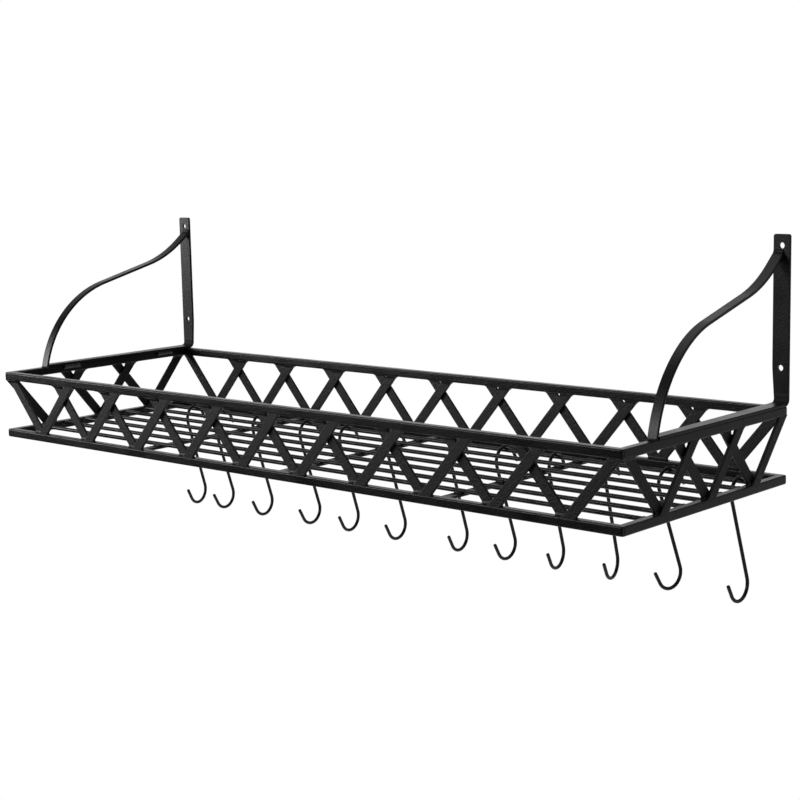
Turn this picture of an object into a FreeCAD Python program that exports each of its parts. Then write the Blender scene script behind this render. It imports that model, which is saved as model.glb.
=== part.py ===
import FreeCAD, Part
import math
import os

# Wall shelf with hooks: a welded steel basket on two curved wall brackets, with S-hooks.
# Millimetres. The wall is the plane Y = 0, the shelf stands out towards -Y, +Z is up, and
# the origin is the middle of the four wall holes.

# Basket frame: two rectangles of square bar, one above the other
basket_length = 914.4
basket_depth = 294.0
basket_height = 80.0
rail_size = 9.5
rail_edge_radius = 1.6
frame_corner_radius = 3.2

# Rolled edges of the flat bars
flat_bar_edge_radius = 0.8
sharp_edge_angle = 45.0

# Lattice: flat bars in V's, outer and inner layer face to face
lattice_bar_width = 11.5
lattice_bar_thickness = 3.2
lattice_bar_lean = 52.0
lattice_bar_tongue = 1.0
long_side_v_count = 10
long_side_foot_spread = 7.5
short_side_v_count = 3
short_side_foot_spread = 1.0
lattice_end_gap = 1.5
lattice_corner_clearance = 0.6

# Floor: round rods along the shelf on flat cross bars
floor_rod_diameter = 4.8
floor_rod_count = 7
floor_rod_pitch = 33.5
cross_bar_count = 3
cross_bar_width = 12.0
cross_bar_thickness = 3.0
cross_bar_lift = 2.0

# Bracket strap: an L of flat bar, with the upright on the wall and the leg on the end rail
strap_width = 19.0
strap_neck_narrowing = 2.6
strap_foot_narrowing = 8.0
strap_thickness = 3.2
strap_bend_radius = 4.0
strap_rise = 174.0
strap_taper_height = 36.0
strap_tip_radius = 2.5
wall_hole_diameter = 6.4
wall_hole_spacing = 124.0
wall_hole_to_tip = 11.5

# Bracket brace: an ogee of flat bar from the end rail up to the upright, before the leg
brace_head_width = 12.3
brace_foot_width = 11.1
brace_foot_inset = 0.9
brace_thickness = 3.0
brace_foot_to_front = 55.8
brace_foot_lean = 19.8
brace_foot_rise = 81.0
brace_head_reach = 38.3
brace_head_rise = 29.9
brace_head_to_tip = 17.8
brace_bow_share = 0.94
brace_head_radius = 145.0

# Stitch welds in the corner under the leg
weld_size = 6.0
weld_length = 27.0
weld_count = 2
weld_first_to_front = 96.0
weld_last_to_back = 44.0

# S-hooks: round wire with two alike bends, hung over the rearmost rod
hook_wire_diameter = 3.8
hook_bend_radius = 16.0
hook_length = 129.5
hook_tip_length = 14.0
hook_tip_flare = 30.0
hook_tip_rounding = 0.8
hook_rod_clearance = 0.3
first_hook_to_end = 69.0
last_hook_to_end = 27.4
hook_nudges = [0, -22, -24, -14, -22, -20, 2, -3, -7, -8, -9, 0]
hook_turns = [-10, -4, -4, -1, -4, -2, -4, 1, -8, -11, 13, 1]

# How near two places are to count as one
tolerance = 1e-6

# Places that the pieces share
half_length = basket_length / 2
back_y = -strap_thickness
front_y = back_y - basket_depth
strap_tip_z = wall_hole_spacing / 2 + wall_hole_to_tip
basket_top_z = strap_tip_z - strap_rise
basket_bottom_z = basket_top_z - basket_height
leg_top_z = basket_top_z + strap_thickness
floor_rod_z = basket_bottom_z + cross_bar_lift + cross_bar_thickness + floor_rod_diameter / 2
rearmost_rod_y = (front_y + back_y) / 2 + floor_rod_pitch * (floor_rod_count - 1) / 2

os.makedirs("parts", exist_ok=True)


def save(node, solids):
    """Write one node, checked to hold whole, separate solids."""
    for solid in solids:
        if not solid.isValid() or solid.Volume <= 0:
            raise ValueError("bad solid in " + node)
    shape = solids[0] if len(solids) == 1 else Part.makeCompound(solids)
    shape.exportStep("parts/" + node + ".step")
    print(node, len(solids), round(sum(solid.Volume for solid in solids), 1))


def block(x_range, y_range, z_range):
    """A box between the two ends of each range."""
    corner = FreeCAD.Vector(x_range[0], y_range[0], z_range[0])
    return Part.makeBox(
        x_range[1] - x_range[0], y_range[1] - y_range[0], z_range[1] - z_range[0], corner
    )


def prism(points, direction):
    """A straight-sided outline pushed along a direction."""
    outline = Part.makePolygon(points + [points[0]])
    return Part.Face(outline).extrude(direction)


def edges_rounded(bar, end_faces):
    """Flat bar with its long edges rounded, up to the faces where it ends."""
    end_edges = [edge for face in end_faces for edge in face.Edges]
    long_edges = []
    for edge in bar.Edges:
        middle = edge.valueAt((edge.FirstParameter + edge.LastParameter) / 2)
        beside = bar.ancestorsOfType(edge, Part.Face)
        normals = [face.normalAt(*face.Surface.parameter(middle)) for face in beside]
        sharp = normals[0].getAngle(normals[1]) > math.radians(sharp_edge_angle)
        if sharp and not any(edge.isSame(end_edge) for end_edge in end_edges):
            long_edges.append(edge)
    return bar.makeFillet(flat_bar_edge_radius, long_edges)


def mirrored(solid):
    """The other hand of a solid, across the middle of the shelf."""
    return solid.mirror(FreeCAD.Vector(0, 0, 0), FreeCAD.Vector(1, 0, 0))


# Frame rails: a rounded rectangle of square bar, sawn apart along its mitres
def frame_ring(low_z):
    high_z = low_z + rail_size
    outside = block((-half_length, half_length), (front_y, back_y), (low_z, high_z))
    upright_edges = [e for e in outside.Edges if abs(e.tangentAt(e.FirstParameter).z) > 0.9]
    outside = outside.makeFillet(frame_corner_radius, upright_edges)
    inner_x = half_length - rail_size
    inside = block(
        (-inner_x, inner_x), (front_y + rail_size, back_y - rail_size), (low_z, high_z)
    )
    ring = outside.cut(inside)
    long_edges = [edge for edge in ring.Edges if edge.BoundBox.ZLength < tolerance]
    return ring.makeFillet(rail_edge_radius, long_edges)


def sawn_rails(ring, low_z):
    outer = [
        (-half_length, front_y),
        (half_length, front_y),
        (half_length, back_y),
        (-half_length, back_y),
    ]
    rails = {}
    for i, side in enumerate(["front", "right", "back", "left"]):
        corners = [outer[i], outer[(i + 1) % 4]]
        mitre = [FreeCAD.Vector(x, y, low_z) for x, y in corners]
        for x, y in reversed(corners):
            inward_x = x - math.copysign(rail_size, x)
            inward_y = y + (rail_size if y == front_y else -rail_size)
            mitre.append(FreeCAD.Vector(inward_x, inward_y, low_z))
        wedge = prism(mitre, FreeCAD.Vector(0, 0, rail_size))
        rails[side] = ring.common(wedge).Solids[0]
    return rails


bottom_ring = frame_ring(basket_bottom_z)
for side, rail in sawn_rails(bottom_ring, basket_bottom_z).items():
    save("bottom_rail_" + side, [rail])
top_ring = frame_ring(basket_top_z - rail_size)
for side, rail in sawn_rails(top_ring, basket_top_z - rail_size).items():
    save("top_rail_" + side, [rail])


# Lattice: V's of flat bar between the frames, seen from outside each side, left to right
def lattice_layers(span, v_count, foot_spread, left_gap):
    low_z = basket_bottom_z + rail_size
    height = basket_height - 2 * rail_size
    slope = lattice_bar_lean / height
    foot = lattice_bar_width * math.hypot(1, slope)
    v_half_width = (foot + foot_spread) / 2 + lattice_bar_lean
    first = left_gap + v_half_width
    last = span - lattice_end_gap - v_half_width
    layers = {"outer": [], "inner": []}
    for i in range(v_count):
        meeting = first + (last - first) * i / (v_count - 1)
        for layer, way, depth in (("outer", 1, 0), ("inner", -1, lattice_bar_thickness)):
            low = meeting + way * (foot_spread / 2 - slope * lattice_bar_tongue)
            high = low + way * slope * (height + 2 * lattice_bar_tongue)
            end_zs = (low_z - lattice_bar_tongue, low_z + height + lattice_bar_tongue)
            outline = [
                FreeCAD.Vector(low - foot / 2, depth, end_zs[0]),
                FreeCAD.Vector(low + foot / 2, depth, end_zs[0]),
                FreeCAD.Vector(high + foot / 2, depth, end_zs[1]),
                FreeCAD.Vector(high - foot / 2, depth, end_zs[1]),
            ]
            bar = prism(outline, FreeCAD.Vector(0, lattice_bar_thickness, 0))
            ends = [face for face in bar.Faces if abs(face.normalAt(0, 0).z) > 1 - tolerance]
            layers[layer].append(edges_rounded(bar, ends))
    return layers


# At each corner the inner bar of one side stops short of the outer bar of the next
long_side = (basket_length, long_side_v_count, long_side_foot_spread,
             lattice_bar_thickness + lattice_corner_clearance)
short_side = (basket_depth, short_side_v_count, short_side_foot_spread,
              2 * lattice_bar_thickness + lattice_corner_clearance)
lattice_sides = [
    ("front", -half_length, front_y, long_side),
    ("right", half_length, front_y, short_side),
    ("back", half_length, back_y, long_side),
    ("left", -half_length, back_y, short_side),
]
for i, (side, corner_x, corner_y, layout) in enumerate(lattice_sides):
    for layer, bars in lattice_layers(*layout).items():
        fitted_bars = []
        for bar in bars:
            bar.rotate(FreeCAD.Vector(0, 0, 0), FreeCAD.Vector(0, 0, 1), 90 * i)
            bar.translate(FreeCAD.Vector(corner_x, corner_y, 0))
            # Each end is cut to the rounded edge of its rail
            fitted = bar.cut([bottom_ring, top_ring])
            fitted_bars.append(max(fitted.Solids, key=lambda solid: solid.Volume))
        save("lattice_" + side + "_" + layer + "_bars", fitted_bars)


# Floor rods, front to back, butted on the inner faces of the end rails
rod_reach = half_length - rail_size
for i in range(floor_rod_count):
    rod_y = rearmost_rod_y - (floor_rod_count - 1 - i) * floor_rod_pitch
    rod_end = FreeCAD.Vector(-rod_reach, rod_y, floor_rod_z)
    rod = Part.makeCylinder(floor_rod_diameter / 2, 2 * rod_reach, rod_end, FreeCAD.Vector(1, 0, 0))
    save("floor_rod_" + str(i + 1), [rod])

# Cross bars under the rods, evenly along the shelf, from the front rail to the back rail
cross_bar_low_z = basket_bottom_z + cross_bar_lift
for i in range(cross_bar_count):
    middle_x = -half_length + basket_length * (i + 1) / (cross_bar_count + 1)
    cross_bar = block(
        (middle_x - cross_bar_width / 2, middle_x + cross_bar_width / 2),
        (front_y + rail_size, back_y - rail_size),
        (cross_bar_low_z, cross_bar_low_z + cross_bar_thickness),
    )
    ends = [face for face in cross_bar.Faces if abs(face.normalAt(0, 0).y) > 1 - tolerance]
    save("floor_cross_bar_" + str(i + 1), [edges_rounded(cross_bar, ends)])


# Bent flat bar: a strip seen edge on, given by the corners of one face and its bend radii
def left_normals(corners):
    normals = []
    for start, end in zip(corners, corners[1:]):
        along = (end - start).normalize()
        normals.append(FreeCAD.Vector(0, -along.z, along.y))
    return normals


def bent_edges(corners, radii):
    """Straight runs joined by tangent arcs."""
    normals = left_normals(corners)
    edges = []
    last = corners[0]
    for corner, radius, before, after in zip(corners[1:-1], radii, normals, normals[1:]):
        turn = math.atan2(before.y * after.z - before.z * after.y, before.dot(after))
        side = math.copysign(1, turn)
        reach = radius * math.tan(abs(turn) / 2)
        start = corner - FreeCAD.Vector(0, before.z, -before.y) * reach
        end = corner + FreeCAD.Vector(0, after.z, -after.y) * reach
        bisector = (before + after).normalize()
        centre = corner + bisector * (side * radius / math.cos(turn / 2))
        middle = centre - bisector * (side * radius)
        edges.append(Part.LineSegment(last, start).toShape())
        edges.append(Part.Arc(start, middle, end).toShape())
        last = end
    edges.append(Part.LineSegment(last, corners[-1]).toShape())
    return edges


def bent_strip(corners, radii, thickness, width):
    """Flat bar bent along the corners; its second face lies to the left of the first."""
    normals = left_normals(corners)
    second = [corners[0] + normals[0] * thickness]
    second_radii = []
    for corner, radius, before, after in zip(corners[1:-1], radii, normals, normals[1:]):
        second.append(corner + (before + after) * (thickness / (1 + before.dot(after))))
        left_turn = before.y * after.z - before.z * after.y > 0
        second_radii.append(radius - thickness if left_turn else radius + thickness)
    second.append(corners[-1] + normals[-1] * thickness)
    edges = bent_edges(corners, radii) + bent_edges(second, second_radii)
    edges.append(Part.LineSegment(corners[0], second[0]).toShape())
    edges.append(Part.LineSegment(corners[-1], second[-1]).toShape())
    outline = Part.Wire(Part.__sortEdges__(edges))
    return Part.Face(outline).extrude(FreeCAD.Vector(width, 0, 0))


# Right bracket brace: its foot stands on the end rail, and its head is cut to the upright,
# flush with the upright's inner edge
strap_inner_x = half_length - strap_width
brace_foot_outer_x = half_length - brace_foot_inset
brace_foot = FreeCAD.Vector(strap_inner_x, front_y + brace_foot_to_front, basket_top_z)
brace_head = FreeCAD.Vector(strap_inner_x, back_y, strap_tip_z - brace_head_to_tip)
bow_corner = brace_foot + FreeCAD.Vector(0, brace_foot_lean, brace_foot_rise)
head_corner = brace_head - FreeCAD.Vector(0, brace_head_reach, brace_head_rise)
foot_run = bow_corner - brace_foot
middle_run = head_corner - bow_corner
head_run = brace_head - head_corner
bow_radius = brace_bow_share * foot_run.Length / math.tan(foot_run.getAngle(middle_run) / 2)
spare = 2 * brace_thickness
brace_blank = bent_strip(
    [
        brace_head + FreeCAD.Vector(head_run).normalize() * spare,
        head_corner,
        bow_corner,
        brace_foot - FreeCAD.Vector(foot_run).normalize() * spare,
    ],
    [brace_head_radius, bow_radius],
    brace_thickness,
    strap_width,
)
blank_room = block((strap_inner_x, half_length), (front_y, back_y), (basket_top_z, strap_tip_z))
brace_blank = brace_blank.common(blank_room).Solids[0]
brace_plan = prism(
    [
        FreeCAD.Vector(brace_foot_outer_x - brace_foot_width, brace_foot.y, basket_top_z),
        FreeCAD.Vector(brace_foot_outer_x, brace_foot.y, basket_top_z),
        FreeCAD.Vector(strap_inner_x + brace_head_width, back_y, basket_top_z),
        FreeCAD.Vector(strap_inner_x, back_y, basket_top_z),
    ],
    FreeCAD.Vector(0, 0, strap_rise),
)
brace = brace_blank.common(brace_plan).Solids[0]
brace_ends = [
    face for face in brace.Faces
    if face.BoundBox.ZLength < tolerance or face.BoundBox.YLength < tolerance
]
brace = edges_rounded(brace, brace_ends)
save("bracket_brace_right", [brace])
save("bracket_brace_left", [mirrored(brace)])

# Right bracket strap, its outer edge flush with the end of the basket
strap = bent_strip(
    [
        brace_foot,
        FreeCAD.Vector(strap_inner_x, 0, basket_top_z),
        FreeCAD.Vector(strap_inner_x, 0, strap_tip_z),
    ],
    [strap_bend_radius + strap_thickness],
    strap_thickness,
    strap_width,
)
tip_edges = [
    edge for edge in strap.Edges
    if edge.BoundBox.ZMin > strap_tip_z - tolerance and edge.BoundBox.YLength > strap_thickness / 2
]
strap = strap.makeFillet(strap_tip_radius, tip_edges)
# The leg's front end butts on the back of the brace's foot, and the sliver before it goes
strap = max(strap.cut(brace_blank).Solids, key=lambda solid: solid.Volume)
leg_ends = [face for face in strap.Faces if face.BoundBox.YMax < brace_foot.y + spare]
strap = edges_rounded(strap, leg_ends)
# Its inner edge is trimmed, to a neck above the bend and a narrower foot
bend_y = -strap_bend_radius - strap_thickness
bend_z = leg_top_z + strap_bend_radius
neck_x = strap_inner_x + strap_neck_narrowing
leg_trim = prism(
    [
        FreeCAD.Vector(strap_inner_x, bend_y, basket_top_z),
        FreeCAD.Vector(neck_x, bend_y, basket_top_z),
        brace_foot + FreeCAD.Vector(strap_foot_narrowing, 0, 0),
        brace_foot,
    ],
    FreeCAD.Vector(0, 0, strap_thickness),
)
neck_trim = prism(
    [
        FreeCAD.Vector(strap_inner_x, bend_y, basket_top_z),
        FreeCAD.Vector(neck_x, bend_y, basket_top_z),
        FreeCAD.Vector(neck_x, bend_y, bend_z),
        FreeCAD.Vector(strap_inner_x, bend_y, bend_z + strap_taper_height),
    ],
    FreeCAD.Vector(0, -bend_y, 0),
)
strap = strap.cut(leg_trim).cut(neck_trim)
for hole_z in (-wall_hole_spacing / 2, wall_hole_spacing / 2):
    hole_mouth = FreeCAD.Vector(half_length - strap_width / 2, back_y, hole_z)
    drill = Part.makeCylinder(
        wall_hole_diameter / 2, strap_thickness, hole_mouth, FreeCAD.Vector(0, 1, 0)
    )
    strap = strap.cut(drill)
strap = strap.Solids[0]
save("bracket_strap_right", [strap])
save("bracket_strap_left", [mirrored(strap)])

# Stitch welds: quarter-round beads with round ends, under the leg against the end rail
rail_inner_x = half_length - rail_size
weld_pitch = (basket_depth - weld_first_to_front - weld_last_to_back) / (weld_count - 1)
half_run = weld_length / 2 - weld_size
weld_beads = []
for i in range(weld_count):
    weld_y = front_y + weld_first_to_front + i * weld_pitch
    start = FreeCAD.Vector(rail_inner_x, weld_y - half_run, basket_top_z)
    end = FreeCAD.Vector(rail_inner_x, weld_y + half_run, basket_top_z)
    bead = Part.makeCylinder(weld_size, 2 * half_run, start, FreeCAD.Vector(0, 1, 0))
    bead = bead.fuse([Part.makeSphere(weld_size, start), Part.makeSphere(weld_size, end)])
    corner_room = block(
        (rail_inner_x - weld_size, rail_inner_x),
        (weld_y - weld_length / 2, weld_y + weld_length / 2),
        (basket_top_z - weld_size, basket_top_z),
    )
    weld_beads.append(bead.common(corner_room).removeSplitter().Solids[0])
save("strap_welds_right", weld_beads)
save("strap_welds_left", [mirrored(bead) for bead in weld_beads])


# S-hook in its own plane: Y towards the wall, Z up, the rod's axis at the origin
def s_hook():
    wire_radius = hook_wire_diameter / 2
    top = floor_rod_diameter / 2 + hook_rod_clearance + wire_radius
    upper = FreeCAD.Vector(0, 0, top - hook_bend_radius)
    lower = FreeCAD.Vector(0, 0, top - hook_length + hook_bend_radius)
    lean = math.asin(2 * hook_bend_radius / (upper.z - lower.z))
    flare = math.radians(90 - hook_tip_flare)

    def around(centre, angle):
        return centre + FreeCAD.Vector(0, math.sin(angle), math.cos(angle)) * hook_bend_radius

    # The shank leaves each bend a little past its widest point
    shank_angle = -(math.pi / 2 + lean)
    tip_step = FreeCAD.Vector(0, math.cos(flare), -math.sin(flare)) * hook_tip_length
    arc_angles = [flare, (flare + shank_angle) / 2, shank_angle]
    upper_arc = [around(upper, angle) for angle in arc_angles]
    middle = (upper + lower) / 2
    lower_arc = [middle * 2 - point for point in reversed(upper_arc)]
    path = Part.Wire([
        Part.LineSegment(upper_arc[0] + tip_step, upper_arc[0]).toShape(),
        Part.Arc(*upper_arc).toShape(),
        Part.LineSegment(upper_arc[2], lower_arc[0]).toShape(),
        Part.Arc(*lower_arc).toShape(),
        Part.LineSegment(lower_arc[2], lower_arc[2] - tip_step).toShape(),
    ])
    section = Part.Wire([Part.makeCircle(wire_radius, upper_arc[0] + tip_step, tip_step)])
    hook = path.makePipeShell([section], True, False)
    ends = [upper_arc[0] + tip_step, lower_arc[2] - tip_step]
    end_edges = [
        edge for edge in hook.Edges
        if isinstance(edge.Curve, Part.Circle)
        and min((edge.Curve.Center - end).Length for end in ends) < tolerance
    ]
    hook = hook.makeFillet(hook_tip_rounding, end_edges)
    print("hook volume over section times length",
          hook.Volume / (math.pi * wire_radius ** 2 * path.Length))
    return hook


hook_shape = s_hook()
hook_step = (basket_length - first_hook_to_end - last_hook_to_end) / (len(hook_nudges) - 1)
for i, (nudge, turn) in enumerate(zip(hook_nudges, hook_turns)):
    hook_x = -half_length + first_hook_to_end + i * hook_step + nudge
    hook = hook_shape.copy()
    hook.rotate(FreeCAD.Vector(0, 0, 0), FreeCAD.Vector(0, 0, 1), -turn)
    hook.translate(FreeCAD.Vector(hook_x, rearmost_rod_y, floor_rod_z))
    save("s_hook_" + str(i + 1), [hook])
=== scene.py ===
import bpy
import math
from mathutils import Matrix, Vector


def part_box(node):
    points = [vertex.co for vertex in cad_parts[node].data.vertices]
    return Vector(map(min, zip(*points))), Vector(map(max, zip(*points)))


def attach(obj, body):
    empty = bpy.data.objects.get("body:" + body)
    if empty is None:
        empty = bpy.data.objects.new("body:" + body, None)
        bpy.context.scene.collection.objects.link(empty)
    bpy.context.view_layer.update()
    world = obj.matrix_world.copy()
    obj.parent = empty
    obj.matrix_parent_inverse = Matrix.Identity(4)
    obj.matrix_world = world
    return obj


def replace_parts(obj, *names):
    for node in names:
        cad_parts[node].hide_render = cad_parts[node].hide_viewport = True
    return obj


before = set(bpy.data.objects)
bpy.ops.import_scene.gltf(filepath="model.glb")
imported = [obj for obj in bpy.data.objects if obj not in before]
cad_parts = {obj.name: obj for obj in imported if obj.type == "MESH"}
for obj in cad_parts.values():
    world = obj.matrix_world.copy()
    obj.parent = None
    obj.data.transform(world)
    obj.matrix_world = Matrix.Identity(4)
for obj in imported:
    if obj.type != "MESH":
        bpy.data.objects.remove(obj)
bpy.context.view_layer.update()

# Basket frame: two rectangles of 9.5 mm square steel bar, mitred, welded and ground flush.
# The whole shelf is sprayed with black powder after welding and baked, which leaves a satin
# skin with a fine orange peel, uneven in gloss and rubbed a little paler along the edges.
BLACK = (0.003, 0.003, 0.0031, 1)
RUBBED_BLACK = (0.018, 0.018, 0.0185, 1)
GLOSS_SPREAD = 0.05
RUBBED_EDGE_RADIUS = 0.0012


def mottle(tree, place, scale, detail):
    """Soft uneven patches, with so many to the metre."""
    node = tree.nodes.new("ShaderNodeTexNoise")
    node.inputs["Scale"].default_value = scale
    node.inputs["Detail"].default_value = detail
    tree.links.new(place, node.inputs["Vector"])
    return node.outputs["Fac"]


def graded(tree, value, source, target, interpolation="LINEAR"):
    """The value, with the source pair of levels taken to the target pair."""
    node = tree.nodes.new("ShaderNodeMapRange")
    node.interpolation_type = interpolation
    node.inputs["From Min"].default_value = source[0]
    node.inputs["From Max"].default_value = source[1]
    node.inputs["To Min"].default_value = target[0]
    node.inputs["To Max"].default_value = target[1]
    tree.links.new(value, node.inputs["Value"])
    return node.outputs["Result"]


def combined(tree, operation, first, second):
    node = tree.nodes.new("ShaderNodeMath")
    node.operation = operation
    tree.links.new(first, node.inputs[0])
    tree.links.new(second, node.inputs[1])
    return node.outputs["Value"]


def powder_coat(name, roughness, peel_size, peel_height, rubbed, shine=0.4):
    coat = bpy.data.materials.new(name)
    coat.use_nodes = True
    tree = coat.node_tree
    nodes = tree.nodes
    link = tree.links.new
    shader = nodes["Principled BSDF"]
    shader.inputs["Specular IOR Level"].default_value = shine
    place = nodes.new("ShaderNodeTexCoord").outputs["Object"]

    # Patches a few centimetres wide, where the powder lay thicker or thinner
    patches = mottle(tree, place, scale=24, detail=4)
    gloss = graded(tree, patches, (0.3, 0.7), (roughness - GLOSS_SPREAD, roughness + GLOSS_SPREAD))
    link(gloss, shader.inputs["Roughness"])

    # Edges rubbed paler, unevenly, where the rounded normal leaves the face's own
    rounded = nodes.new("ShaderNodeBevel")
    rounded.samples = 6
    rounded.inputs["Radius"].default_value = RUBBED_EDGE_RADIUS
    face = nodes.new("ShaderNodeNewGeometry")
    turn = nodes.new("ShaderNodeVectorMath")
    turn.operation = "DOT_PRODUCT"
    link(rounded.outputs["Normal"], turn.inputs[0])
    link(face.outputs["Normal"], turn.inputs[1])
    edge = graded(tree, turn.outputs["Value"], (0.995, 0.87), (0, 1))
    scuffs = mottle(tree, place, scale=130, detail=3)
    scuffed = graded(tree, scuffs, (0.35, 0.7), (0, rubbed))
    colour = nodes.new("ShaderNodeMix")
    colour.data_type = "RGBA"
    colour.inputs["A"].default_value = BLACK
    colour.inputs["B"].default_value = RUBBED_BLACK
    link(combined(tree, "MULTIPLY", edge, scuffed), colour.inputs["Factor"])
    link(colour.outputs["Result"], shader.inputs["Base Color"])

    # Orange peel: the low soft bumps of powder that has flowed and set
    bumps = nodes.new("ShaderNodeBump")
    bumps.inputs["Distance"].default_value = peel_height
    link(mottle(tree, place, scale=1 / peel_size, detail=2), bumps.inputs["Height"])
    link(bumps.outputs["Normal"], shader.inputs["Normal"])
    return coat


def paint(coat, node_names):
    for node_name in node_names:
        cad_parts[node_name].material_slots[0].material = coat


SIDES = ("front", "right", "back", "left")
frame_coat = powder_coat(
    "frame_powder_coat", roughness=0.33, peel_size=0.0018, peel_height=0.0003, rubbed=0.8
)
paint(frame_coat, ["top_rail_" + side for side in SIDES])
paint(frame_coat, ["bottom_rail_" + side for side in SIDES])

# Lattice: V's of 11.5 x 3.2 mm flat bar between the rectangles. Seen from outside, the bars
# that lean right lie flush with the rails and the bars that lean left pass behind them.
# Every bar is sawn to one length, with slanted ends that sit flat on the rails.
lattice_coat = powder_coat(
    "lattice_powder_coat", roughness=0.5, peel_size=0.0018, peel_height=0.0005, rubbed=0.8
)
for side in SIDES:
    paint(lattice_coat, ["lattice_" + side + "_outer_bars", "lattice_" + side + "_inner_bars"])

# Lattice welds: each bar end is welded to its rail by hand, all round except on the flush
# outer face. The bead runs out into the corners, hollow between its toes, and fills the step
# in front of the bars that stand back. It is painted over with the rest.
BAR_WIDTH = 0.0115
BAR_THICKNESS = 0.0032
BAR_LEAN = 0.052
V_COUNTS = {"front": 10, "right": 3, "back": 10, "left": 3}
FOOT_SPREADS = {"front": 0.0075, "right": 0.001, "back": 0.0075, "left": 0.001}
ACUTE_REACHES = {"front": 0.0024, "right": 0.0008, "back": 0.0024, "left": 0.0008}
OBTUSE_REACHES = {"front": 0.0038, "right": 0.0016, "back": 0.0038, "left": 0.0016}
CORNER_REACH = 0.0005
STEP_REACH = 0.0028
INNER_REACH = 0.0022
OUTER_WELD_HEIGHT = 0.002
INNER_WELD_HEIGHT = 0.003
WELD_OVERLAP = 0.0001
HOLLOW_TURNS = (math.pi / 6, math.pi / 3, math.pi / 2)
SMOOTHED_ANGLE = math.radians(50)
weld_coat = powder_coat(
    "weld_powder_coat", roughness=0.45, peel_size=0.0014, peel_height=0.0005, rubbed=0.5
)


def flat_bar_weld(width, thickness, lean, reach, height):
    """A hollow bead round the end of a flat bar that stands on the plane z = 0 with its outer
    face on y = 0. Reach is how far the bead spreads left, right, outside and inside."""
    left, right, outside, inside = reach
    toe_rounding = 0.0009
    skirt_depth = 0.0012
    skirt_spread = 0.8

    def side_limit(side_reach, spread):
        return side_reach * spread + WELD_OVERLAP if side_reach else -WELD_OVERLAP

    def ring(spread, z):
        low = Vector((-width / 2 - side_limit(left, spread), -side_limit(outside, spread), 0))
        high = Vector((
            width / 2 + side_limit(right, spread), thickness + side_limit(inside, spread), 0
        ))
        rise = max(z, 0)
        middle = (low + high) / 2 + Vector((lean[0] * rise, lean[1] * rise, z))
        return middle, high - low

    rings = [ring(skirt_spread, -skirt_depth), ring(1, 0)]
    for turn in HOLLOW_TURNS:
        rings.append(ring(1 - math.sin(turn), height * (1 - math.cos(turn))))
    bpy.ops.object.select_all(action="DESELECT")
    bpy.ops.mesh.primitive_plane_add(size=1)
    weld = bpy.context.object
    bpy.ops.object.mode_set(mode="EDIT")
    bpy.ops.mesh.select_all(action="SELECT")
    middle, size = rings[0]
    bpy.ops.transform.resize(value=(size.x, size.y, 1), center_override=(0, 0, 0))
    bpy.ops.transform.translate(value=middle)
    bpy.ops.mesh.bevel(affect="VERTICES", offset=toe_rounding, segments=2)
    for next_middle, next_size in rings[1:]:
        bpy.ops.mesh.extrude_region_move(TRANSFORM_OT_translate={"value": next_middle - middle})
        bpy.ops.transform.resize(
            value=(next_size.x / size.x, next_size.y / size.y, 1), center_override=next_middle
        )
        middle, size = next_middle, next_size
    bpy.ops.mesh.select_all(action="SELECT")
    bpy.ops.mesh.normals_make_consistent(inside=False)
    bpy.ops.object.mode_set(mode="OBJECT")
    bpy.ops.object.shade_smooth_by_angle(angle=SMOOTHED_ANGLE)
    return weld


def placed_copy(model, place):
    copy = model.copy()
    copy.data = model.data.copy()
    bpy.context.collection.objects.link(copy)
    copy.data.transform(place)
    if place.determinant() < 0:
        copy.data.flip_normals()
    return copy


def weld_piece(name, copies, coat=weld_coat):
    """Join the copies into one painted piece that rides with the rack."""
    bpy.ops.object.select_all(action="DESELECT")
    for copy in copies:
        copy.select_set(True)
    bpy.context.view_layer.objects.active = copies[0]
    if len(copies) > 1:
        bpy.ops.object.join()
    piece = bpy.context.object
    piece.name = name
    piece.data.name = name
    piece.data.materials.clear()
    piece.data.materials.append(coat)
    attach(piece, "rack")
    return piece


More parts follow.
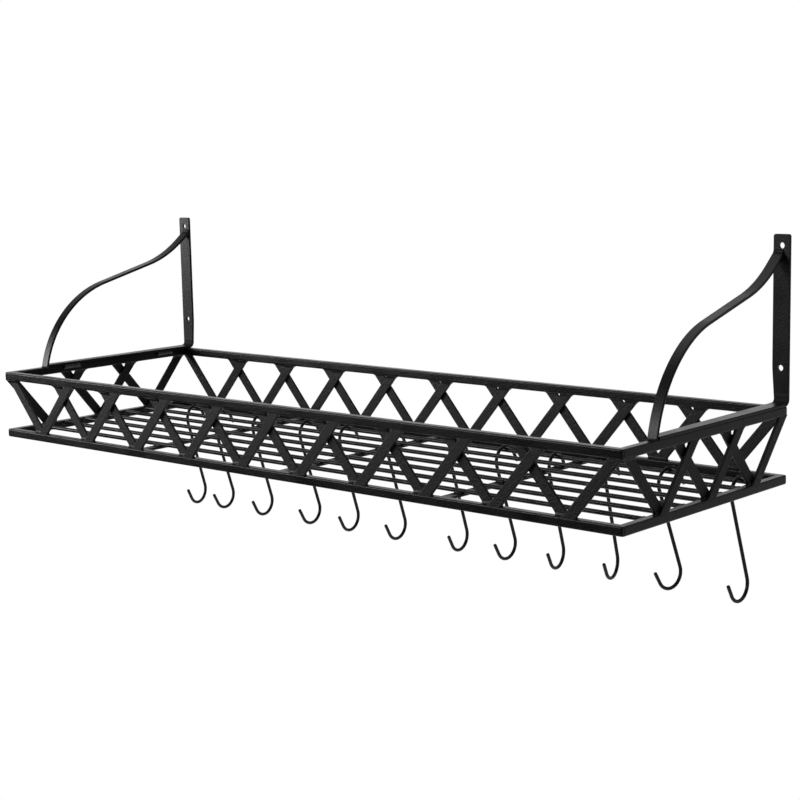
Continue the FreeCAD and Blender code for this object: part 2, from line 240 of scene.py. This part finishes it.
bottom_rail_top_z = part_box("bottom_rail_front")[1][2]
top_rail_under_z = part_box("top_rail_front")[0][2]
slope = BAR_LEAN / (top_rail_under_z - bottom_rail_top_z)
foot_width = BAR_WIDTH * math.hypot(1, slope)
basket_low = (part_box("bottom_rail_left")[0][0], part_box("bottom_rail_front")[0][1])
basket_high = (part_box("bottom_rail_right")[1][0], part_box("bottom_rail_back")[1][1])
basket_corners = (
    basket_low,
    (basket_high[0], basket_low[1]),
    basket_high,
    (basket_low[0], basket_high[1]),
)
upside_down = Matrix.Rotation(math.pi, 4, "Y")
leaning_left = Matrix.Scale(-1, 4, Vector((1, 0, 0)))
for i, side in enumerate(SIDES):
    side_frame = (
        Matrix.Translation((*basket_corners[i], 0)) @ Matrix.Rotation(i * math.pi / 2, 4, "Z")
    )
    node_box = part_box("lattice_" + side + "_inner_bars")
    ends = sorted((side_frame.inverted() @ Vector(corner)).x for corner in node_box)
    first_foot = ends[0] + foot_width / 2 + BAR_LEAN
    last_foot = ends[1] - foot_width / 2
    last = V_COUNTS[side] - 1
    acute = ACUTE_REACHES[side]

    # The second of each pair is for a bar end in a corner of the basket
    obtuse_reaches = (OBTUSE_REACHES[side], CORNER_REACH)
    outer_welds = [
        flat_bar_weld(
            foot_width, BAR_THICKNESS, (slope, 0), (obtuse, acute, 0, INNER_REACH),
            OUTER_WELD_HEIGHT,
        )
        for obtuse in obtuse_reaches
    ]
    inner_welds = [
        flat_bar_weld(
            foot_width, BAR_THICKNESS, (slope, 0), (obtuse, acute, STEP_REACH, INNER_REACH),
            INNER_WELD_HEIGHT,
        )
        for obtuse in obtuse_reaches
    ]
    copies = []
    for v in range(V_COUNTS[side]):
        inner_foot = first_foot + (last_foot - first_foot) * v / last
        outer_foot = inner_foot + FOOT_SPREADS[side]
        outer_head_weld = outer_welds[1] if v == last else outer_welds[0]
        inner_head_weld = inner_welds[1] if v == 0 else inner_welds[0]
        outer_foot_place = Matrix.Translation((outer_foot, 0, bottom_rail_top_z))
        outer_head_place = Matrix.Translation((outer_foot + BAR_LEAN, 0, top_rail_under_z))
        inner_foot_place = Matrix.Translation((inner_foot, BAR_THICKNESS, bottom_rail_top_z))
        inner_head_place = Matrix.Translation(
            (inner_foot - BAR_LEAN, BAR_THICKNESS, top_rail_under_z)
        )
        copies += [
            placed_copy(outer_welds[0], side_frame @ outer_foot_place),
            placed_copy(outer_head_weld, side_frame @ outer_head_place @ upside_down),
            placed_copy(inner_welds[0], side_frame @ inner_foot_place @ leaning_left),
            placed_copy(
                inner_head_weld, side_frame @ inner_head_place @ upside_down @ leaning_left
            ),
        ]
    weld_piece("lattice_welds_" + side, copies)
    for model in outer_welds + inner_welds:
        bpy.data.objects.remove(model)

# Floor: seven 4.8 mm round rods along the basket, butted on the end rails, lying on three
# 12 x 3 mm flat cross bars that run from the front rail to the back rail.
ROD_COUNT = 7
CROSS_BAR_COUNT = 3
floor_coat = powder_coat(
    "floor_powder_coat", roughness=0.34, peel_size=0.0018, peel_height=0.0003, rubbed=1
)
rod_names = ["floor_rod_" + str(i + 1) for i in range(ROD_COUNT)]
cross_bar_names = ["floor_cross_bar_" + str(i + 1) for i in range(CROSS_BAR_COUNT)]
paint(floor_coat, rod_names + cross_bar_names)

# Floor welds: a fillet round each rod end, level with the rod's top, a fillet round each end
# of the cross bars, and a saddle of melted steel under each rod where it crosses a bar.
ROD_WELD_REACH = 0.0018
ROD_WELD_LENGTH = 0.0024
CROSS_BAR_WELD_REACH = (0.0016, 0.0016, 0.0016, 0.001)
CROSS_BAR_WELD_HEIGHT = 0.0022
SADDLE_SIZE = (0.01, 0.0045)
SADDLE_REACH = (0.0004, 0.0004, 0.0013, 0.0013)
SADDLE_HEIGHT = 0.0016


def rod_end_weld(rod_radius):
    """A hollow bead round a rod that runs along -x from a face at x = 0, cut off at its top."""
    bpy.ops.object.select_all(action="DESELECT")
    radius = rod_radius + ROD_WELD_REACH
    bpy.ops.mesh.primitive_circle_add(
        vertices=14, radius=radius, fill_type="NGON", rotation=(0, math.pi / 2, 0)
    )
    weld = bpy.context.object
    bpy.ops.object.transform_apply(rotation=True)
    bpy.ops.object.mode_set(mode="EDIT")
    bpy.ops.mesh.select_all(action="SELECT")
    x = 0
    for turn in HOLLOW_TURNS:
        next_x = -ROD_WELD_LENGTH * (1 - math.cos(turn))
        next_radius = rod_radius + WELD_OVERLAP + ROD_WELD_REACH * (1 - math.sin(turn))
        bpy.ops.mesh.extrude_region_move(TRANSFORM_OT_translate={"value": (next_x - x, 0, 0)})
        bpy.ops.transform.resize(
            value=(1, next_radius / radius, next_radius / radius), center_override=(next_x, 0, 0)
        )
        x, radius = next_x, next_radius
    bpy.ops.mesh.select_all(action="SELECT")
    bpy.ops.mesh.normals_make_consistent(inside=False)
    bpy.ops.mesh.bisect(
        plane_co=(0, 0, rod_radius - WELD_OVERLAP), plane_no=(0, 0, 1),
        use_fill=True, clear_outer=True,
    )
    bpy.ops.object.mode_set(mode="OBJECT")
    bpy.ops.object.shade_smooth_by_angle(angle=SMOOTHED_ANGLE)
    return weld


rod_boxes = [[Vector(corner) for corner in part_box(name)] for name in rod_names]
cross_bar_boxes = [[Vector(corner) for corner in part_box(name)] for name in cross_bar_names]
rod_radius = (rod_boxes[0][1].z - rod_boxes[0][0].z) / 2
rod_weld = rod_end_weld(rod_radius)
other_end = Matrix.Rotation(math.pi, 4, "Z")
copies = []
for low, high in rod_boxes:
    middle = (low + high) / 2
    right_end = Matrix.Translation((high.x, middle.y, middle.z))
    left_end = Matrix.Translation((low.x, middle.y, middle.z))
    copies.append(placed_copy(rod_weld, right_end))
    copies.append(placed_copy(rod_weld, left_end @ other_end))
weld_piece("rod_end_welds", copies)

low, high = cross_bar_boxes[0]
cross_bar_weld = flat_bar_weld(
    high.x - low.x, high.z - low.z, (0, 0), CROSS_BAR_WELD_REACH, CROSS_BAR_WELD_HEIGHT
)
lying_back = Matrix.Rotation(-math.pi / 2, 4, "X")
copies = []
for low, high in cross_bar_boxes:
    middle_x = (low.x + high.x) / 2
    front_end = Matrix.Translation((middle_x, low.y, high.z))
    back_end = Matrix.Translation((middle_x, high.y, high.z))
    copies.append(placed_copy(cross_bar_weld, front_end @ lying_back))
    copies.append(placed_copy(cross_bar_weld, back_end @ other_end @ lying_back))
weld_piece("cross_bar_end_welds", copies)

saddle = flat_bar_weld(SADDLE_SIZE[0], SADDLE_SIZE[1], (0, 0), SADDLE_REACH, SADDLE_HEIGHT)
copies = []
for bar_low, bar_high in cross_bar_boxes:
    for rod_low, rod_high in rod_boxes:
        middle_x = (bar_low.x + bar_high.x) / 2
        front_y = (rod_low.y + rod_high.y - SADDLE_SIZE[1]) / 2
        copies.append(placed_copy(saddle, Matrix.Translation((middle_x, front_y, bar_high.z))))
weld_piece("rod_saddle_welds", copies)
for model in (rod_weld, cross_bar_weld, saddle):
    bpy.data.objects.remove(model)

# Brackets: a 19 x 3.2 mm flat bar bent to an L, with its upright on the wall and its leg along
# the end rail, and a 12.3 x 3 mm flat bar bent cold to an ogee, from the outer edge of the rail
# up to the inner edge of the upright.
STRAP_THICKNESS = 0.0032
BEND_RADIUS = 0.004
DULL_CORE_RADIUS = 0.0044
DULL_RIM_RADIUS = 0.0072
BEND_DULLNESS = 0.4
bracket_coat = powder_coat(
    "bracket_powder_coat", roughness=0.36, peel_size=0.0018, peel_height=0.00014, rubbed=0.8
)
for hand in ("right", "left"):
    paint(bracket_coat, ["bracket_strap_" + hand, "bracket_brace_" + hand])

# Powder lies thick and dull in the hollow of the L's bend, round the axis that it is bent on
strap_under_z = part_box("bracket_strap_right")[0][2]
axis_offset = STRAP_THICKNESS + BEND_RADIUS
bracket_tree = bracket_coat.node_tree
bracket_roughness = bracket_tree.nodes["Principled BSDF"].inputs["Roughness"]
bracket_gloss = bracket_roughness.links[0].from_socket
bracket_place = bracket_tree.nodes.new("ShaderNodeTexCoord").outputs["Object"]
crosswise = bracket_tree.nodes.new("ShaderNodeVectorMath")
crosswise.operation = "MULTIPLY"
crosswise.inputs[1].default_value = (0, 1, 1)
bracket_tree.links.new(bracket_place, crosswise.inputs[0])
from_axis = bracket_tree.nodes.new("ShaderNodeVectorMath")
from_axis.operation = "DISTANCE"
from_axis.inputs[1].default_value = (0, -axis_offset, strap_under_z + axis_offset)
bracket_tree.links.new(crosswise.outputs["Vector"], from_axis.inputs[0])
dulled = graded(
    bracket_tree, from_axis.outputs["Value"],
    (DULL_RIM_RADIUS, DULL_CORE_RADIUS), (0, BEND_DULLNESS),
)
bracket_tree.links.new(combined(bracket_tree, "ADD", bracket_gloss, dulled), bracket_roughness)

# Bracket welds: two stitches of rippled bead under each leg, against the inner face of the end
# rail, a fillet at the brace's foot, and a short rippled bead over and under the brace's head.
# Each ripple is a puddle of steel that set before the next one was laid.
STITCH_LENGTH = 0.027
STITCH_RADIUS = 0.0041
STITCH_INSET = 0.00246
STITCH_DROP = 0.0019
STITCH_STEP = 0.0032
HEAD_BEAD_RADIUS = 0.0021
HEAD_BEAD_INSET = 0.00147
HEAD_BEAD_STEP = 0.0015
PUDDLE_FLATTENING = 0.45
RIPPLE_GRAIN = 0.00045
BRACE_THICKNESS = 0.003
BRACE_FOOT_WIDTH = 0.0111
BRACE_FOOT_SLOPE = 0.244
BRACE_HEAD_WIDTH = 0.0123
BRACE_HEAD_SLOPE = 0.781
FOOT_WELD_REACH = (0.0008, 0, 0.0009, 0)
FOOT_WELD_HEIGHT = 0.0014

# The powder flowed out smooth on the stitches, which shine more than the other welds
stitch_coat = powder_coat(
    "stitch_powder_coat", roughness=0.3, peel_size=0.0014, peel_height=0.0005, rubbed=0.5, shine=1
)


def rippled_bead(start, end, radius, step):
    """A row of puddles from one point to another, melted into one bead."""
    along = end - start
    count = round(along.length / step)
    bpy.ops.object.select_all(action="DESELECT")
    bpy.ops.mesh.primitive_uv_sphere_add(segments=16, ring_count=10, radius=radius, location=start)
    bead = bpy.context.object
    bpy.ops.object.transform_apply(location=True)
    bpy.ops.object.mode_set(mode="EDIT")
    bpy.ops.mesh.select_all(action="SELECT")
    flat = [1 - PUDDLE_FLATTENING * abs(axis) for axis in along.normalized()]
    bpy.ops.transform.resize(value=flat, center_override=start)
    for _ in range(count):
        bpy.ops.mesh.duplicate_move(TRANSFORM_OT_translate={"value": along / count})
    bpy.ops.object.mode_set(mode="OBJECT")
    melted = bead.modifiers.new("melted", "REMESH")
    melted.mode = "VOXEL"
    melted.voxel_size = RIPPLE_GRAIN
    bpy.ops.object.modifier_apply(modifier=melted.name)
    settled = bead.modifiers.new("settled", "SMOOTH")
    settled.iterations = 3
    bpy.ops.object.modifier_apply(modifier=settled.name)
    bpy.ops.object.shade_smooth()
    return bead


def trimmed(bead, planes):
    """Cut away what lies beyond each plane, given by a point and the way out."""
    bpy.ops.object.select_all(action="DESELECT")
    bead.select_set(True)
    bpy.context.view_layer.objects.active = bead
    bpy.ops.object.mode_set(mode="EDIT")
    for point, outwards in planes:
        bpy.ops.mesh.select_all(action="SELECT")
        bpy.ops.mesh.bisect(plane_co=point, plane_no=outwards, use_fill=True, clear_outer=True)
    bpy.ops.object.mode_set(mode="OBJECT")
    return bead


def right_stitch_beads():
    low, high = (Vector(corner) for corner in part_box("strap_welds_right"))
    half_run = STITCH_LENGTH / 2 - STITCH_INSET
    planes = [(high, (1, 0, 0)), (high, (0, 0, 1))]
    beads = []
    for middle_y in (low.y + STITCH_LENGTH / 2, high.y - STITCH_LENGTH / 2):
        start = Vector((high.x, middle_y - half_run, high.z - STITCH_DROP))
        end = Vector((high.x, middle_y + half_run, high.z - STITCH_DROP))
        beads.append(trimmed(rippled_bead(start, end, STITCH_RADIUS, STITCH_STEP), planes))
    return beads


def right_brace_welds():
    low, high = (Vector(corner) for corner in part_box("bracket_brace_right"))
    foot_weld = flat_bar_weld(
        BRACE_FOOT_WIDTH, BRACE_THICKNESS, (0, BRACE_FOOT_SLOPE), FOOT_WELD_REACH, FOOT_WELD_HEIGHT
    )
    foot_weld.data.transform(Matrix.Translation((high.x - BRACE_FOOT_WIDTH / 2, low.y, low.z)))
    head_thickness = BRACE_THICKNESS * math.hypot(1, BRACE_HEAD_SLOPE)
    upright_face = [(Vector((0, high.y, 0)), (0, 1, 0))]
    welds = [foot_weld]
    for z in (high.z, high.z - head_thickness):
        start = Vector((low.x + HEAD_BEAD_INSET, high.y, z))
        end = Vector((low.x + BRACE_HEAD_WIDTH - HEAD_BEAD_INSET, high.y, z))
        bead = rippled_bead(start, end, HEAD_BEAD_RADIUS, HEAD_BEAD_STEP)
        welds.append(trimmed(bead, upright_face))
    return welds


across = Matrix.Scale(-1, 4, Vector((1, 0, 0)))
stitch_beads = right_stitch_beads()
brace_welds = right_brace_welds()
left_stitch_beads = [placed_copy(bead, across) for bead in stitch_beads]
left_brace_welds = [placed_copy(weld, across) for weld in brace_welds]
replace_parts(weld_piece("stitch_beads_right", stitch_beads, stitch_coat), "strap_welds_right")
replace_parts(weld_piece("stitch_beads_left", left_stitch_beads, stitch_coat), "strap_welds_left")
weld_piece("brace_welds_right", brace_welds)
weld_piece("brace_welds_left", left_brace_welds)

# Hooks: twelve S-hooks bent from 3.8 mm round wire, with rounded cut ends, hung over the
# rearmost rod. Their coat is thinner and smoother than the welded frame's.
HOOK_COUNT = 12
hook_coat = powder_coat(
    "hook_powder_coat", roughness=0.36, peel_size=0.0012, peel_height=0.0001, rubbed=0.5
)
paint(hook_coat, ["s_hook_" + str(i + 1) for i in range(HOOK_COUNT)])

# Studio floor: a round of matt pale board, far enough below the shelf to stay out of the
# camera's frame, that fades out towards its rim. It shows paler than the lamps alone make it.
FLOOR_DROP = 1.3
FLOOR_RADIUS = 1.7
FLOOR_FADE = (0.7, 1.68)
FLOOR_GREY = (0.7, 0.7, 0.7, 1)
FLOOR_GLOW = 0.4
scene = bpy.context.scene
scene.view_settings.view_transform = "Standard"
bpy.ops.object.select_all(action="DESELECT")
bpy.ops.mesh.primitive_circle_add(
    vertices=96, radius=FLOOR_RADIUS, fill_type="NGON", location=(0, 0, -FLOOR_DROP)
)
floor = bpy.context.object
floor.name = "studio_floor"
pale = bpy.data.materials.new("studio_floor_paint")
pale.use_nodes = True
pale_tree = pale.node_tree
pale_nodes = pale_tree.nodes
pale_link = pale_tree.links.new
pale_shader = pale_nodes["Principled BSDF"]
pale_shader.inputs["Base Color"].default_value = FLOOR_GREY
pale_shader.inputs["Roughness"].default_value = 0.9
pale_shader.inputs["Specular IOR Level"].default_value = 0
pale_shader.inputs["Emission Color"].default_value = (1, 1, 1, 1)
floor_ray = pale_nodes.new("ShaderNodeLightPath").outputs
seen_floor = combined(pale_tree, "MAXIMUM", floor_ray["Is Camera Ray"], floor_ray["Is Glossy Ray"])
seen_floor = combined(pale_tree, "MAXIMUM", seen_floor, floor_ray["Is Transmission Ray"])
pale_link(
    graded(pale_tree, seen_floor, (0, 1), (0, FLOOR_GLOW)), pale_shader.inputs["Emission Strength"]
)
away = pale_nodes.new("ShaderNodeVectorMath")
away.operation = "LENGTH"
pale_link(pale_nodes.new("ShaderNodeTexCoord").outputs["Object"], away.inputs[0])
fading = pale_nodes.new("ShaderNodeMixShader")
pale_link(
    graded(pale_tree, away.outputs["Value"], FLOOR_FADE, (0, 1), "SMOOTHSTEP"), fading.inputs["Fac"]
)
pale_link(pale_shader.outputs["BSDF"], fading.inputs[1])
pale_link(pale_nodes.new("ShaderNodeBsdfTransparent").outputs["BSDF"], fading.inputs[2])
pale_link(fading.outputs["Shader"], pale_nodes["Material Output"].inputs["Surface"])
floor.data.materials.append(pale)

# Studio walls: dim all round and lighter overhead, with soft pale patches for the coat to mirror.
# Each patch has the way to it, the cosines where it starts and is full, and its strength. The
# white backdrop is what the camera sees, and what the coat mirrors behind the shelf.
WALL_PATCHES = {
    "back right": ((0.37, 0.92, -0.1), (0.84, 0.97), 0.25),
    "back left, low": ((-0.3, 0.85, -0.45), (0.72, 0.95), 0.5),
    "back right, low": ((0.55, 0.45, -0.75), (0.8, 0.96), 0.32),
    "right": ((1, -0.15, -0.3), (0.84, 0.97), 0.6),
    "front right": ((0.7, -0.7, 0.1), (0.82, 0.96), 0.22),
    "left, high": ((-0.79, 0.33, 0.52), (0.9, 0.98), 0.4),
    "back right, high": ((0.56, 0.61, 0.55), (0.94, 0.99), 0.9),
}
world = bpy.data.worlds.new("studio_walls")
scene.world = world
world.use_nodes = True
wall_tree = world.node_tree
walls = wall_tree.nodes
walls_link = wall_tree.links.new
backdrop = walls["Background"]
backdrop.inputs["Color"].default_value = (1, 1, 1, 1)
room = walls.new("ShaderNodeBackground")
room.inputs["Color"].default_value = (1, 1, 1, 1)
sight = walls.new("ShaderNodeTexCoord").outputs["Generated"]


def towards(direction, fade, dim, bright):
    along = walls.new("ShaderNodeVectorMath")
    along.operation = "DOT_PRODUCT"
    along.inputs[1].default_value = Vector(direction).normalized()
    walls_link(sight, along.inputs[0])
    return graded(wall_tree, along.outputs["Value"], fade, (dim, bright), "SMOOTHSTEP")


room_level = towards((0, 0, 1), fade=(0.3, 0.8), dim=0.01, bright=0.14)
for direction, fade, strength in WALL_PATCHES.values():
    patch_level = towards(direction, fade, dim=0, bright=strength)
    room_level = combined(wall_tree, "ADD", room_level, patch_level)
walls_link(room_level, room.inputs["Strength"])
behind = towards((-0.65, 0.73, 0.2), fade=(0.9, 0.98), dim=0, bright=1)
wall_ray = walls.new("ShaderNodeLightPath").outputs
mirrored = combined(wall_tree, "MAXIMUM", wall_ray["Is Glossy Ray"], wall_ray["Is Transmission Ray"])
mirrored_behind = combined(wall_tree, "MULTIPLY", mirrored, behind)
shown = combined(wall_tree, "MAXIMUM", wall_ray["Is Camera Ray"], mirrored_behind)
seen = walls.new("ShaderNodeMixShader")
walls_link(shown, seen.inputs["Fac"])
walls_link(room.outputs["Background"], seen.inputs[1])
walls_link(backdrop.outputs["Background"], seen.inputs[2])
walls_link(seen.outputs["Shader"], walls["World Output"].inputs["Surface"])

# Lamps: a large softbox overhead, one at the far left that lights the left bracket and the
# left end of the front, and a smaller one before the shelf, to the left of the camera.
SHELF_MIDDLE = Vector((0, -0.15, -0.1))


def softbox(name, place, width, height, watts):
    bpy.ops.object.light_add(type="AREA", location=place)
    lamp = bpy.context.object
    lamp.name = name
    lamp.data.shape = "RECTANGLE"
    lamp.data.size = width
    lamp.data.size_y = height
    lamp.data.energy = watts
    lamp.rotation_euler = (SHELF_MIDDLE - Vector(place)).to_track_quat("-Z", "Y").to_euler()
    lamp.visible_camera = False


softbox("overhead_softbox", (-0.5, 0.5, 2.2), width=2.2, height=1.6, watts=5)
softbox("left_softbox", (-2.6, -1.65, 0.38), width=1.6, height=0.72, watts=30)
softbox("front_softbox", (-1.6, -2.7, 0.85), width=1.2, height=0.85, watts=26)

# Camera: to the right of the shelf and a little above it, with a long lens, turned, lowered
# and rolled (in radians) to the photograph's viewing angle.
CAMERA_PLACE = (1.33597, -1.58214, 0.18883)
TURN = 0.72698
RISE = 0.15424
ROLL = -0.021418
LENS_LENGTH = 79.43
bpy.ops.object.camera_add(location=CAMERA_PLACE)
camera = bpy.context.object
camera.name = "photo_camera"
camera.data.lens = LENS_LENGTH
camera.data.sensor_width = 36
camera.rotation_euler = (
    Matrix.Rotation(TURN, 3, "Z")
    @ Matrix.Rotation(math.pi / 2 - RISE, 3, "X")
    @ Matrix.Rotation(ROLL, 3, "Z")
).to_euler()
scene.camera = camera
